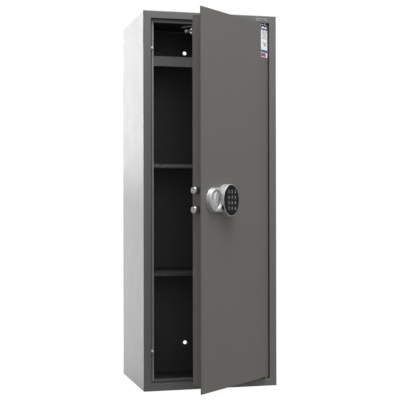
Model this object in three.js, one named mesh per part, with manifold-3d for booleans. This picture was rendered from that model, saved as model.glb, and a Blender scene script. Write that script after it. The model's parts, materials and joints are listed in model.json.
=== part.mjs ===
// Steel gun safe: a welded cabinet of folded sheet, three shelves, and one right-hand door on
// concealed pivots with an electronic lock, a turning knob and two round bolts.
// Millimetres, +Z up, the front faces -Y. The origin is the centre of the base, on the floor.
// Door parts are placed as on the closed door, and one group swings them open about the pivot.

import * as THREE from 'three';
import { mergeVertices } from 'three/addons/utils/BufferGeometryUtils.js';
import Module from 'manifold-3d';

const wasm = await Module();
wasm.setup();

// ---- Driving dimensions -------------------------------------------------------------------

const BODY_W = 460;
const BODY_D = 360;
const BODY_H = 1252;
const SHEET = 3;
const GAP = 0.3;

const FACE_W = 25;            // width of the frame face round the door opening
const REBATE = 17;            // from the front of the frame back to the stop flange
const STOP_W = 12;            // how far the stop flange stands into the opening
const CORNER_R = 3;

const DOOR_ANGLE = 40.2;      // degrees open as modelled
const PLATE_T = 4;
const PLATE_SETBACK = 0.5;
const PLATE_GAP_FREE = 4;
const PLATE_GAP_HINGE = 5;
const PLATE_GAP_END = 6;
const PLATE_EDGE_R = 2.5;
const PIVOT_IN = 7;           // pivot axis, in from the hinge-side edge of the plate
const PIVOT_BACK = 8.5;       // pivot axis, behind the front of the plate
const PIVOT_R = 3.5;

const PAN_INSET_FREE = 25;
const PAN_INSET_HINGE = 28;
const PAN_INSET_END = 20;
const PAN_DEPTH = 45.7;
const PAN_T = 1.8;
const PAN_LIP = 14;
const COVER_T = 1.5;

const LOCK_Z = BODY_H / 2;
const KNOB_FROM_EDGE = 64;    // knob centre, from the free edge of the plate
const KEYPAD_FROM_EDGE = 133;
const BARREL_R = 36.5;
const BARREL_H = 15;
const HOUSING_DRAFT = 2.5;      // how far the housing's walls spread towards the door
const KNOB_POCKET_R = 30;
const KEYPAD_RX = 45.5;
const KEYPAD_RY = 51;
const KEYPAD_H = 24;
const KEY_PITCH_X = 18.5;
const KEY_PITCH_Y = 17.5;

const BOLT_R = 11;
const BOLT_SPREAD = 60;
const BOLT_BACK = 31.5;       // bolt axis, behind the front of the plate
const BOLT_THROW = 18;        // the bolts are modelled thrown; they draw back by this much

const SHELF_T = 1.5;
const SHELF_FRONT = -115;
const SHELF_BACK = 170;
const SHELVES = [
  { name: 'top', z: 1112, lip: 33 },
  { name: 'upper', z: 749, lip: 11 },
  { name: 'lower', z: 384, lip: 11 },
];

// ---- Places worked out from the driving dimensions ----------------------------------------

const SIDE_X = BODY_W / 2;
const FRONT_Y = -BODY_D / 2;
const BACK_Y = BODY_D / 2;
const WALL_X = SIDE_X - SHEET;

const PLATE_FRONT = FRONT_Y + PLATE_SETBACK;
const PLATE_REAR = PLATE_FRONT + PLATE_T;
const PLATE_FREE_X = -SIDE_X + FACE_W + PLATE_GAP_FREE;
const PLATE_HINGE_X = SIDE_X - FACE_W - PLATE_GAP_HINGE;
const PLATE_LOW = FACE_W + PLATE_GAP_END;
const PLATE_HIGH = BODY_H - PLATE_LOW;

const PIVOT_X = PLATE_HINGE_X - PIVOT_IN;
const PIVOT_Y = PLATE_FRONT + PIVOT_BACK;

const FLANGE_FRONT = FRONT_Y + REBATE;
const FLANGE_REAR = FLANGE_FRONT + SHEET;

const PAN_FREE_X = PLATE_FREE_X + PAN_INSET_FREE;
const PAN_HINGE_X = PLATE_HINGE_X - PAN_INSET_HINGE;
const PAN_LOW = PLATE_LOW + PAN_INSET_END;
const PAN_HIGH = PLATE_HIGH - PAN_INSET_END;
const PAN_FRONT = PLATE_REAR + GAP;
const PAN_REAR = PAN_FRONT + PAN_DEPTH;
const COVER_REAR = PAN_REAR + GAP + COVER_T;

const KNOB_X = PLATE_FREE_X + KNOB_FROM_EDGE;
const KEYPAD_X = PLATE_FREE_X + KEYPAD_FROM_EDGE;
const BOLT_Y = PLATE_FRONT + BOLT_BACK;
const BOLT_TIP_X = PLATE_FREE_X + 2;
const BOLT_END_X = KNOB_X + 6 - BOLT_THROW;
const BOLT_ZS = { upper: LOCK_Z + BOLT_SPREAD / 2, lower: LOCK_Z - BOLT_SPREAD / 2 };

const CARRIAGE_FRONT = BOLT_Y + BOLT_R + GAP;
const CARRIAGE_REAR = CARRIAGE_FRONT + 3;

// ---- Materials ------------------------------------------------------------------------------

function finish(color, roughness, metalness) {
  return new THREE.MeshStandardMaterial({ color, roughness, metalness });
}

const paint = finish(0x6b6a67, 0.55, 0.1);
const innerPaint = finish(0x3c3e3f, 0.6, 0.1);
const castSilver = finish(0xb4b4b2, 0.3, 0.9);
const brightSteel = finish(0xc2c2c0, 0.25, 1.0);
const zincSteel = finish(0xa4a49c, 0.45, 0.9);
const brass = finish(0xb08d4a, 0.4, 0.9);
const blackPlastic = finish(0x17181a, 0.35, 0.0);
const keyRubber = finish(0x2b2d30, 0.5, 0.0);
const boardGreen = finish(0x24502f, 0.6, 0.0);
const paleRubber = finish(0xb9b9b4, 0.8, 0.0);

// ---- Solid tools ----------------------------------------------------------------------------

function box(x0, x1, y0, y1, z0, z1) {
  const geometry = new THREE.BoxGeometry(x1 - x0, y1 - y0, z1 - z0);
  return geometry.translate((x0 + x1) / 2, (y0 + y1) / 2, (z0 + z1) / 2);
}

// A cylinder with its axis along x, y or z, from one end to the other.
function rod(axis, radius, from, to, sides, at) {
  const geometry = new THREE.CylinderGeometry(radius, radius, to - from, sides);
  const middle = (from + to) / 2;
  if (axis === 'x') return geometry.rotateZ(Math.PI / 2).translate(middle, at[0], at[1]);
  if (axis === 'y') return geometry.translate(at[0], middle, at[1]);
  return geometry.rotateX(Math.PI / 2).translate(at[0], at[1], middle);
}

// A flat outline in XY, drawn up along Z.
function prism(outline, z0, z1, curveSegments = 12, bevel = 0) {
  const shape = outline instanceof THREE.Shape ? outline : polygon(outline);
  const settings = {
    depth: z1 - z0 - 2 * bevel,
    curveSegments,
    bevelEnabled: bevel > 0,
    bevelSize: bevel,
    bevelThickness: bevel,
    bevelOffset: -bevel,
    bevelSegments: 1,
  };
  return new THREE.ExtrudeGeometry(shape, settings).translate(0, 0, z0 + bevel);
}

function polygon(points) {
  return new THREE.Shape(points.map(([x, y]) => new THREE.Vector2(x, y)));
}

function ellipse(rx, ry) {
  const shape = new THREE.Shape();
  shape.absellipse(0, 0, rx, ry, 0, Math.PI * 2);
  return shape;
}

function roundedRect(width, height, radius, cx = 0, cy = 0) {
  const x = width / 2 - radius;
  const y = height / 2 - radius;
  const shape = new THREE.Shape();
  shape.absarc(cx + x, cy + y, radius, 0, Math.PI / 2);
  shape.absarc(cx - x, cy + y, radius, Math.PI / 2, Math.PI);
  shape.absarc(cx - x, cy - y, radius, Math.PI, Math.PI * 1.5);
  shape.absarc(cx + x, cy - y, radius, Math.PI * 1.5, Math.PI * 2);
  return shape;
}

// An eye shape: two equal arcs that meet in points at the top and bottom.
function lens(halfWidth, halfLength) {
  const radius = (halfLength ** 2 + halfWidth ** 2) / (2 * halfWidth);
  const offset = radius - halfWidth;
  const turn = Math.asin(halfLength / radius);
  const shape = new THREE.Shape();
  shape.absarc(-offset, 0, radius, -turn, turn);
  shape.absarc(offset, 0, radius, Math.PI - turn, Math.PI + turn);
  return shape;
}

// Stands a YZ section up, so that what was drawn up along Z runs along X.
function alongX(geometry) {
  return geometry.applyMatrix4(new THREE.Matrix4().set(0, 0, 1, 0, 1, 0, 0, 0, 0, 1, 0, 0, 0, 0, 0, 1));
}

// A turned piece about Z, from a profile of [radius, z] points that starts and ends on the axis.
function turned(profile, sides) {
  const points = profile.map(([r, z]) => new THREE.Vector2(r, z));
  return new THREE.LatheGeometry(points, sides).rotateX(Math.PI / 2);
}

function toSolid(geometry) {
  const bare = geometry.clone();
  bare.deleteAttribute('normal');
  bare.deleteAttribute('uv');
  const merged = mergeVertices(bare, 1e-4);
  const mesh = new wasm.Mesh({
    numProp: 3,
    vertProperties: new Float32Array(merged.attributes.position.array),
    triVerts: new Uint32Array(merged.index.array),
  });
  return new wasm.Manifold(mesh);
}

function toGeometry(solid) {
  const mesh = solid.getMesh();
  const geometry = new THREE.BufferGeometry();
  geometry.setAttribute('position', new THREE.BufferAttribute(mesh.vertProperties, 3));
  geometry.setIndex(new THREE.BufferAttribute(mesh.triVerts, 1));
  geometry.computeVertexNormals();
  return geometry;
}

function cut(geometry, ...tools) {
  let solid = toSolid(geometry);
  for (const tool of tools) solid = solid.subtract(toSolid(tool));
  return toGeometry(solid);
}

function join(...geometries) {
  let solid = toSolid(geometries[0]);
  for (const other of geometries.slice(1)) solid = solid.add(toSolid(other));
  return toGeometry(solid);
}

function place(group, name, geometry, material) {
  const mesh = new THREE.Mesh(geometry, material);
  mesh.name = name;
  group.add(mesh);
  return mesh;
}

// ---- Cabinet shell --------------------------------------------------------------------------

// One folded wall: outer wall, frame face, return and stop flange in a single bent sheet.
// The section lies in XY (x in from the outer face, y back from the front) and runs along Z,
// with both ends mitred at 45 degrees so that four walls close a frame.
function foldedWall(length) {
  const face = FACE_W;
  const section = new THREE.Shape();
  section.moveTo(0, BODY_D);
  section.lineTo(0, CORNER_R);
  section.absarc(CORNER_R, CORNER_R, CORNER_R, Math.PI, Math.PI * 1.5);
  section.lineTo(face - 1, 0);
  section.absarc(face - 1, 1, 1, Math.PI * 1.5, Math.PI * 2);
  section.lineTo(face, REBATE);
  section.lineTo(face + STOP_W, REBATE);
  section.lineTo(face + STOP_W, REBATE + SHEET);
  section.lineTo(face - SHEET, REBATE + SHEET);
  section.lineTo(face - SHEET, SHEET);
  section.lineTo(SHEET, SHEET);
  section.lineTo(SHEET, BODY_D);
  const geometry = prism(section, 0, 1, 4);
  const position = geometry.attributes.position;
  for (let i = 0; i < position.count; i += 1) {
    const inset = position.getX(i) + GAP / 2;
    position.setZ(i, position.getZ(i) > 0.5 ? length - inset : inset);
  }
  return geometry;
}

function sidePanel(side) {
  const wall = foldedWall(BODY_H);
  if (side < 0) return wall.translate(-SIDE_X, FRONT_Y, 0);
  return wall.rotateY(Math.PI).translate(SIDE_X, FRONT_Y, BODY_H);
}

function endPanel(isTop) {
  const wall = foldedWall(BODY_W);
  if (isTop) return wall.rotateY(Math.PI / 2).translate(-SIDE_X, FRONT_Y, BODY_H);
  return wall.rotateY(-Math.PI / 2).translate(SIDE_X, FRONT_Y, 0);
}

function pivotHole(z0, z1) {
  return rod('z', PIVOT_R + 0.3, z0, z1, 24, [PIVOT_X, PIVOT_Y]);
}

function addShell(group) {
  place(group, 'left_side_panel', sidePanel(-1), paint);
  place(group, 'right_side_panel', sidePanel(1), paint);
  const top = cut(endPanel(true), pivotHole(BODY_H - FACE_W - 1, BODY_H - FACE_W + SHEET + 1));
  place(group, 'top_panel', top, paint);
  const bottom = cut(endPanel(false), pivotHole(FACE_W - SHEET - 1, FACE_W + 1));
  place(group, 'bottom_panel', bottom, paint);
}

function addBackPanel(group) {
  const anchorR = 6.9;
  const anchorZs = [106, BODY_H - 79];
  const edge = WALL_X - GAP;
  const low = SHEET + GAP;
  const sheet = box(-edge, edge, BACK_Y - SHEET, BACK_Y, low, BODY_H - low);
  const anchors = anchorZs.map((z) => rod('y', anchorR, BACK_Y - 5, BACK_Y + 2, 24, [0, z]));
  place(group, 'back_panel', cut(sheet, ...anchors), paint);
}

function addPivotPins(group) {
  const headR = 5.6;
  const headH = 3;
  const reach = 25;
  const end = reach + 8;
  const profile = [[0, 0], [headR, 0], [headR, headH], [PIVOT_R, headH], [PIVOT_R, end], [0, end]];
  const lowZ = FACE_W - SHEET - GAP - headH;
  const bottom = turned(profile, 24).translate(PIVOT_X, PIVOT_Y, lowZ);
  place(group, 'hinge_pin_bottom', bottom, brightSteel);
  const top = turned(profile, 24).rotateX(Math.PI).translate(PIVOT_X, PIVOT_Y, BODY_H - lowZ);
  place(group, 'hinge_pin_top', top, brightSteel);
}

function addThrustWasher(group) {
  const ring = rod('z', 7, FACE_W + GAP, PLATE_LOW - GAP, 24, [PIVOT_X, PIVOT_Y]);
  place(group, 'thrust_washer', cut(ring, pivotHole(FACE_W, PLATE_LOW)), brass);
}

// Soft buffers on the stop flange that the closed door plate rests against.
function addDoorBumpers(group) {
  const x = -SIDE_X + FACE_W + STOP_W / 2;
  const spots = { upper: 1129, lower: 130 };
  for (const [name, z] of Object.entries(spots)) {
    const buffer = rod('y', 4.6, PLATE_REAR + GAP, FLANGE_FRONT - GAP, 16, [x, z]);
    place(group, `door_bumper_${name}`, buffer, paleRubber);
  }
}

// ---- Shelves --------------------------------------------------------------------------------

function shelfSheet(z, lip) {
  const halfW = WALL_X - 1;
  const hem = 8;
  const outline = [
    [SHELF_FRONT, z - lip], [SHELF_FRONT, z], [SHELF_BACK, z], [SHELF_BACK, z - SHELF_T],
    [SHELF_FRONT + SHELF_T, z - SHELF_T], [SHELF_FRONT + SHELF_T, z - lip + SHELF_T],
    [SHELF_FRONT + hem, z - lip + SHELF_T], [SHELF_FRONT + hem, z - lip],
  ];
  return alongX(prism(outline, -halfW, halfW));
}

function addShelves(group) {
  const holeX = 159;
  for (const { name, z, lip } of SHELVES) {
    const holes = [];
    if (lip < 20) {
      for (const x of [-holeX, holeX]) {
        holes.push(rod('y', 2.5, SHELF_FRONT - 1, SHELF_FRONT + SHELF_T + 1, 12, [x, z - lip / 2]));
      }
    }
    place(group, `shelf_${name}`, cut(shelfSheet(z, lip), ...holes), innerPaint);
    for (const side of [-1, 1]) addShelfSupport(group, name, z, side);
  }
}

// An angle strip on the side wall that carries one end of a shelf.
function addShelfSupport(group, name, shelfZ, side) {
  const top = shelfZ - SHELF_T - GAP;
  const wall = -WALL_X + GAP;
  const outline = [
    [wall, top], [wall, top - 22], [wall + 1.5, top - 22],
    [wall + 1.5, top - 1.5], [wall + 18, top - 1.5], [wall + 18, top],
  ];
  const angle = prism(outline, 0, SHELF_BACK - SHELF_FRONT - 20).rotateX(Math.PI / 2);
  angle.translate(0, SHELF_BACK - 5, 0);
  if (side > 0) angle.rotateZ(Math.PI).translate(0, SHELF_BACK + SHELF_FRONT + 10, 0);
  const label = side < 0 ? 'left' : 'right';
  place(group, `shelf_support_${name}_${label}`, angle, innerPaint);
}

// ---- Door shell -----------------------------------------------------------------------------

function addDoorPlate(door) {
  const edge = PLATE_EDGE_R;
  const section = new THREE.Shape();
  section.moveTo(PLATE_FREE_X, PLATE_REAR);
  section.lineTo(PLATE_FREE_X, PLATE_FRONT + 1);
  section.absarc(PLATE_FREE_X + 1, PLATE_FRONT + 1, 1, Math.PI, Math.PI * 1.5);
  section.lineTo(PLATE_HINGE_X - edge, PLATE_FRONT);
  section.absarc(PLATE_HINGE_X - edge, PLATE_FRONT + edge, edge, Math.PI * 1.5, Math.PI * 2);
  section.lineTo(PLATE_HINGE_X, PLATE_REAR);
  const plate = prism(section, PLATE_LOW, PLATE_HIGH, 4);
  const spindleHole = rod('y', 6, PLATE_FRONT - 1, PLATE_REAR + 1, 20, [KNOB_X, LOCK_Z]);
  const cableHole = rod('y', 5, PLATE_FRONT - 1, PLATE_REAR + 1, 16, [KEYPAD_X, LOCK_Z]);
  place(door, 'door_plate', cut(plate, spindleHole, cableHole), paint);
}

const COVER_SCREW_XS = [PAN_FREE_X + 8, PAN_HINGE_X - 8];
const COVER_SCREW_ZS = { lower: LOCK_Z - 232, upper: LOCK_Z + 232 };

function coverScrewHoles() {
  const holes = [];
  for (const x of COVER_SCREW_XS) {
    for (const z of Object.values(COVER_SCREW_ZS)) {
      holes.push(rod('y', 2.4, PAN_REAR - 4, COVER_REAR + 1, 12, [x, z]));
    }
  }
  return holes;
}

// The folded box behind the plate: four walls and a lip all round the rear for the cover.
function addDoorPan(door) {
  const outside = box(PAN_FREE_X, PAN_HINGE_X, PAN_FRONT, PAN_REAR, PAN_LOW, PAN_HIGH);
  const inside = box(
    PAN_FREE_X + PAN_T, PAN_HINGE_X - PAN_T, PAN_FRONT - 1, PAN_REAR - PAN_T,
    PAN_LOW + PAN_T, PAN_HIGH - PAN_T,
  );
  const mouth = box(
    PAN_FREE_X + PAN_LIP, PAN_HINGE_X - PAN_LIP, PAN_REAR - 5, PAN_REAR + 1,
    PAN_LOW + PAN_LIP, PAN_HIGH - PAN_LIP,
  );
  const boltHole = (z) => rod('x', BOLT_R + 0.8, PAN_FREE_X - 1, PAN_FREE_X + 4, 24, [BOLT_Y, z]);
  const holes = [...Object.values(BOLT_ZS).map(boltHole), ...coverScrewHoles()];
  place(door, 'door_pan', cut(outside, inside, mouth, ...holes), paint);
}

const BATTERY = { x0: -20, x1: 80, z0: LOCK_Z - 34, z1: LOCK_Z + 34 };

function addBackCover(door) {
  const inset = 4;
  const sheet = box(
    PAN_FREE_X + inset, PAN_HINGE_X - inset, PAN_REAR + GAP, COVER_REAR,
    PAN_LOW + inset, PAN_HIGH - inset,
  );
  const hatch = box(
    BATTERY.x0 + 5, BATTERY.x1 - 5, PAN_REAR - 1, COVER_REAR + 1,
    BATTERY.z0 + 5, BATTERY.z1 - 5,
  );
  place(door, 'door_back_cover', cut(sheet, hatch, ...coverScrewHoles()), paint);
  const profile = [[0, 0], [2, 0], [2, 6], [4, 6], [4, 7.4], [2.8, 8.4], [0, 8.4]];
  for (const [row, z] of Object.entries(COVER_SCREW_ZS)) {
    for (const x of COVER_SCREW_XS) {
      const edge = x < 0 ? 'lock_side' : 'hinge_side';
      const screw = turned(profile, 16).rotateX(-Math.PI / 2);
      screw.translate(x, COVER_REAR + GAP - 6, z);
      place(door, `cover_screw_${row}_${edge}`, screw, brightSteel);
    }
  }
}

// Each block has a round nose about the pivot, so that it turns clear of the stop flange.
function addHingeBlocks(door) {
  const noseR = 7.6;
  const height = 31;
  const spans = { bottom: PLATE_LOW, top: PLATE_HIGH - height };
  for (const [name, low] of Object.entries(spans)) {
    const high = low + height;
    const nose = rod('z', noseR, low, high, 32, [PIVOT_X, PIVOT_Y]);
    const arm = box(PIVOT_X - 14, PIVOT_X, PAN_FRONT, PIVOT_Y + noseR, low, high);
    const overPlate = box(PIVOT_X - 20, PIVOT_X + 20, PIVOT_Y - 20, PAN_FRONT, low - 1, high + 1);
    const bore = rod('z', PIVOT_R + 0.2, low - 1, high + 1, 24, [PIVOT_X, PIVOT_Y]);
    place(door, `hinge_block_${name}`, cut(join(nose, arm), overPlate, bore), zincSteel);
  }
}

// A small bracket near the top of the door's inner side, with a turned hanging knob.
function addDoorHook(door) {
  const x = PAN_FREE_X + 11;
  const z = 1155;
  const face = COVER_REAR + GAP;
  const plate = box(x - 9, x + 9, face, face + 2, z - 15, z + 16);
  const arm = box(x - 7, x + 7, face + 1, face + 42, z + 12.5, z + 15);
  place(door, 'hook_bracket', join(plate, arm), zincSteel);
  const profile = [[0, 0], [5, 0], [5, 20], [8, 22], [8, 26.5], [7, 28], [0, 28]];
  const knob = turned(profile, 20).rotateX(-Math.PI / 2).translate(x, face + 2 + GAP, z);
  place(door, 'hook_knob', knob, brightSteel);
}

// ---- Lock on the front of the door ----------------------------------------------------------
// The lock group's own axes: x to the right, y up, z out from the face of the plate.

const KNOB_LOCAL = [0, 0];
const KEYPAD_LOCAL = [KEYPAD_X - KNOB_X, 0];
const KNOB_FLOOR = 6;
const KNOB_REAR = KNOB_FLOOR + 0.5;
const KNOB_TOP = BARREL_H - 0.5;
const KEYPAD_FLOOR = BARREL_H + 1.5;
const PORT_W = 16;
const PORT_LOW = BARREL_H + 0.2;
const PORT_HIGH = 22;

function keypadEllipse(shrink) {
  return ellipse(KEYPAD_RX - shrink, KEYPAD_RY - shrink);
}

// The port sits in the keypad's side wall, low on the side that faces the knob.
function portFrame() {
  const y = -24;
  const x = -KEYPAD_RX * Math.sqrt(1 - (y / KEYPAD_RY) ** 2);
  const angle = Math.atan2(y / KEYPAD_RY ** 2, x / KEYPAD_RX ** 2);
  return { x: KEYPAD_LOCAL[0] + x, y, angle };
}

function portBlock(depthIn, depthOut, width, z0, z1) {
  const { x, y, angle } = portFrame();
  const block = box(-depthIn, depthOut, -width / 2, width / 2, z0, z1);
  return block.rotateZ(angle).translate(x, y, 0);
}

// The knob turns in a pocket that reaches a little way under the keypad.
function addLockHousing(lock) {
  const wide = BARREL_R + HOUSING_DRAFT;
  const barrel = new THREE.CylinderGeometry(BARREL_R, wide, BARREL_H - GAP, 48);
  barrel.rotateX(Math.PI / 2).translate(...KNOB_LOCAL, (GAP + BARREL_H) / 2);
  const section = [[-wide, GAP], [wide, GAP], [BARREL_R, BARREL_H], [-BARREL_R, BARREL_H]];
  const bridge = alongX(prism(section, 0, KEYPAD_LOCAL[0]));
  const body = prism(keypadEllipse(0), GAP, KEYPAD_H, 14, 0.8).translate(...KEYPAD_LOCAL, 0);
  const keypadPocket = prism(keypadEllipse(2.4), KEYPAD_FLOOR, KEYPAD_H + 1, 14);
  keypadPocket.translate(...KEYPAD_LOCAL, 0);
  const spindleHole = rod('z', 5, -1, 8, 20, KNOB_LOCAL);
  const cableHole = rod('z', 5, -1, KEYPAD_FLOOR + 1, 16, KEYPAD_LOCAL);
  const port = portBlock(6, 4, PORT_W, PORT_LOW, PORT_HIGH);
  const knobPocket = rod('z', KNOB_POCKET_R, KNOB_FLOOR, PORT_LOW, 40, KNOB_LOCAL);
  const solid = join(barrel, bridge, body);
  const housing = cut(solid, knobPocket, keypadPocket, spindleHole, cableHole, port);
  place(lock, 'lock_housing', housing, castSilver);
}

const KEY_COLUMNS = [-1, 0, 1];
const KEY_ROWS = [1.5, 0.5, -0.5, -1.5];
const KEY_W = 12;
const KEY_H = 14;

function keyCentres() {
  const centres = [];
  for (const row of KEY_ROWS) {
    for (const column of KEY_COLUMNS) {
      centres.push([KEYPAD_LOCAL[0] + column * KEY_PITCH_X, row * KEY_PITCH_Y]);
    }
  }
  return centres;
}

function addKeypad(lock) {
  const face = prism(keypadEllipse(2.7), KEYPAD_H - 1.5, KEYPAD_H + 1.5, 14, 0.6);
  face.translate(...KEYPAD_LOCAL, 0);
  const windows = keyCentres().map(([x, y]) =>
    prism(roundedRect(KEY_W + 0.8, KEY_H + 0.8, 2.4, x, y), KEYPAD_H - 3, KEYPAD_H + 3, 1));
  place(lock, 'keypad_face', cut(face, ...windows), blackPlastic);
  const board = prism(roundedRect(52, 72, 6), KEYPAD_FLOOR + GAP, KEYPAD_FLOOR + 1.5, 4);
  place(lock, 'keypad_board', board.translate(...KEYPAD_LOCAL, 0), boardGreen);
  keyCentres().forEach(([x, y], index) => {
    const key = prism(roundedRect(KEY_W, KEY_H, 2, x, y), KEYPAD_H - 4.5, KEYPAD_H + 2.5, 1, 0.6);
    place(lock, `key_${String(index + 1).padStart(2, '0')}`, key, keyRubber);
  });
  const cover = portBlock(5.7, 1, PORT_W - 2 * GAP, PORT_LOW + GAP, PORT_HIGH - GAP);
  place(lock, 'port_cover', cover, blackPlastic);
}

function addTurnKnob(lock) {
  const discR = KNOB_POCKET_R - 0.7;
  const webTop = KNOB_FLOOR + 3.5;
  const disc = rod('z', discR, KNOB_REAR, BARREL_H - 2.5, 40, KNOB_LOCAL);
  const dish = rod('z', discR - 2.6, webTop, BARREL_H, 40, KNOB_LOCAL);
  const grip = prism(lens(9.5, discR - 0.5), webTop - 1, KNOB_TOP, 10, 1);
  place(lock, 'turn_knob', join(cut(disc, dish), grip), castSilver);
}

// ---- Bolt work inside the door --------------------------------------------------------------

const CRANK_R = BOLT_THROW / 2 / Math.sin(Math.PI / 4);
const CRANK_PIN_R = 3;

function addSpindle(door) {
  const knobRear = PLATE_FRONT - KNOB_REAR + GAP;
  const camFront = CARRIAGE_FRONT - 9;
  const spindle = rod('y', 4, knobRear, camFront - GAP, 16, [KNOB_X, LOCK_Z]);
  place(door, 'lock_spindle', spindle, zincSteel);
  const disc = rod('y', 17, camFront, camFront + 5, 28, [KNOB_X, LOCK_Z]);
  const pinAt = [KNOB_X - BOLT_THROW / 2, LOCK_Z + BOLT_THROW / 2];
  const pin = rod('y', CRANK_PIN_R, camFront + 4, CARRIAGE_REAR + 1.5, 16, pinAt);
  place(door, 'bolt_cam', join(disc, pin), zincSteel);
}

function addBolts(door) {
  for (const [name, z] of Object.entries(BOLT_ZS)) {
    const chamfer = 1.2;
    const length = BOLT_END_X - BOLT_TIP_X;
    const profile = [
      [0, 0], [BOLT_R - chamfer, 0], [BOLT_R, chamfer], [BOLT_R, length], [0, length],
    ];
    const bolt = turned(profile, 28).rotateY(Math.PI / 2).translate(BOLT_TIP_X, BOLT_Y, z);
    place(door, `bolt_${name}`, bolt, brightSteel);
  }
}

const SOLENOID_X = KNOB_X + 43;
const SOLENOID_Z = BOLT_ZS.lower;
const PLUNGER_R = 3;

// The plate that ties the bolts together. Its upright slot takes the crank pin, and its tail
// has one hole for the blocking plunger at each end of the throw.
function addCarriage(door) {
  const x0 = KNOB_X - 4 - BOLT_THROW;
  const x1 = KNOB_X + 26 - BOLT_THROW;
  const tailX = SOLENOID_X + 8;
  const outline = [
    [x0, BOLT_ZS.lower - 14], [x1, BOLT_ZS.lower - 14], [x1, SOLENOID_Z - 8],
    [tailX, SOLENOID_Z - 8], [tailX, SOLENOID_Z + 8],
    [x1, SOLENOID_Z + 8], [x1, BOLT_ZS.upper + 14], [x0, BOLT_ZS.upper + 14],
  ];
  const plate = prism(outline, 0, CARRIAGE_REAR - CARRIAGE_FRONT);
  plate.rotateX(Math.PI / 2).translate(0, CARRIAGE_REAR, 0);
  const slotHalf = CRANK_PIN_R + 0.8;
  const slotX = KNOB_X - BOLT_THROW / 2;
  const slot = box(
    slotX - slotHalf, slotX + slotHalf, CARRIAGE_FRONT - 1, CARRIAGE_REAR + 1,
    LOCK_Z + 4.5, LOCK_Z + CRANK_R + CRANK_PIN_R + 1.2,
  );
  const hole = (x) => rod('y', PLUNGER_R + 0.6, CARRIAGE_FRONT - 1, CARRIAGE_REAR + 1, 16, [x, SOLENOID_Z]);
  const cuts = [slot, hole(SOLENOID_X), hole(SOLENOID_X - BOLT_THROW)];
  place(door, 'bolt_carriage', cut(plate, ...cuts), zincSteel);
}

// The block that the bolts slide in, just inside the pan wall.
function addBoltGuide(door) {
  const x0 = PAN_FREE_X + PAN_T + GAP;
  const half = BOLT_SPREAD / 2 + 18;
  const block = box(x0, x0 + 12, BOLT_Y - 16, BOLT_Y + 15, LOCK_Z - half, LOCK_Z + half);
  const bore = (z) => rod('x', BOLT_R + 0.4, x0 - 1, x0 + 13, 28, [BOLT_Y, z]);
  place(door, 'bolt_guide', cut(block, ...Object.values(BOLT_ZS).map(bore)), zincSteel);
}

function addSolenoid(door) {
  const rear = CARRIAGE_FRONT - 6;
  const body = box(
    SOLENOID_X - 14, SOLENOID_X + 14, PAN_FRONT, rear, SOLENOID_Z - 12, SOLENOID_Z + 12,
  );
  const bore = rod('y', PLUNGER_R + 0.3, rear - 16, rear + 1, 16, [SOLENOID_X, SOLENOID_Z]);
  place(door, 'solenoid_body', cut(body, bore), zincSteel);
  const tip = CARRIAGE_FRONT - 2.2;
  const plunger = rod('y', PLUNGER_R, rear - 15, tip, 16, [SOLENOID_X, SOLENOID_Z]);
  place(door, 'solenoid_plunger', plunger, brightSteel);
}

function addBatteryBox(door) {
  const { x0, x1, z0, z1 } = BATTERY;
  const wall = 2;
  const front = PAN_REAR - 27;
  const tray = cut(
    box(x0, x1, front, PAN_REAR, z0, z1),
    box(x0 + wall, x1 - wall, front + wall, PAN_REAR + 1, z0 + wall, z1 - wall),
  );
  place(door, 'battery_tray', tray, blackPlastic);
  const lidFront = COVER_REAR + GAP;
  const lid = box(x0 - 2, x1 + 2, lidFront, lidFront + 2.4, z0 - 2, z1 + 2);
  place(door, 'battery_lid', lid, blackPlastic);
}

// ---- Assembly -------------------------------------------------------------------------------

const safe = new THREE.Group();
addShell(safe);
addBackPanel(safe);
addPivotPins(safe);
addThrustWasher(safe);
addDoorBumpers(safe);
addShelves(safe);

// The swing group turns the closed door about the pivot axis.
const swing = new THREE.Group();
swing.position.set(PIVOT_X, PIVOT_Y, 0);
swing.rotation.z = THREE.MathUtils.degToRad(DOOR_ANGLE);
safe.add(swing);
const door = new THREE.Group();
door.position.set(-PIVOT_X, -PIVOT_Y, 0);
swing.add(door);
addDoorPlate(door);
addDoorPan(door);
addBackCover(door);
addHingeBlocks(door);
addDoorHook(door);
addSpindle(door);
addBolts(door);
addCarriage(door);
addBoltGuide(door);
addSolenoid(door);
addBatteryBox(door);

const lock = new THREE.Group();
lock.position.set(KNOB_X, PLATE_FRONT, LOCK_Z);
lock.rotation.x = Math.PI / 2;
door.add(lock);
addLockHousing(lock);
addKeypad(lock);
addTurnKnob(lock);

export default safe;
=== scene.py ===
"""Looks for a tall steel gun safe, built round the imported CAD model. Metres, +Z up.

The door stands ajar at rest. Its pieces are placed in the lock's own axes or in those of the closed
door, and one matrix from the frame carries them to the pose at rest.
"""
import json
import math

import bmesh
import bpy
from mathutils import Matrix, Vector


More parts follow.
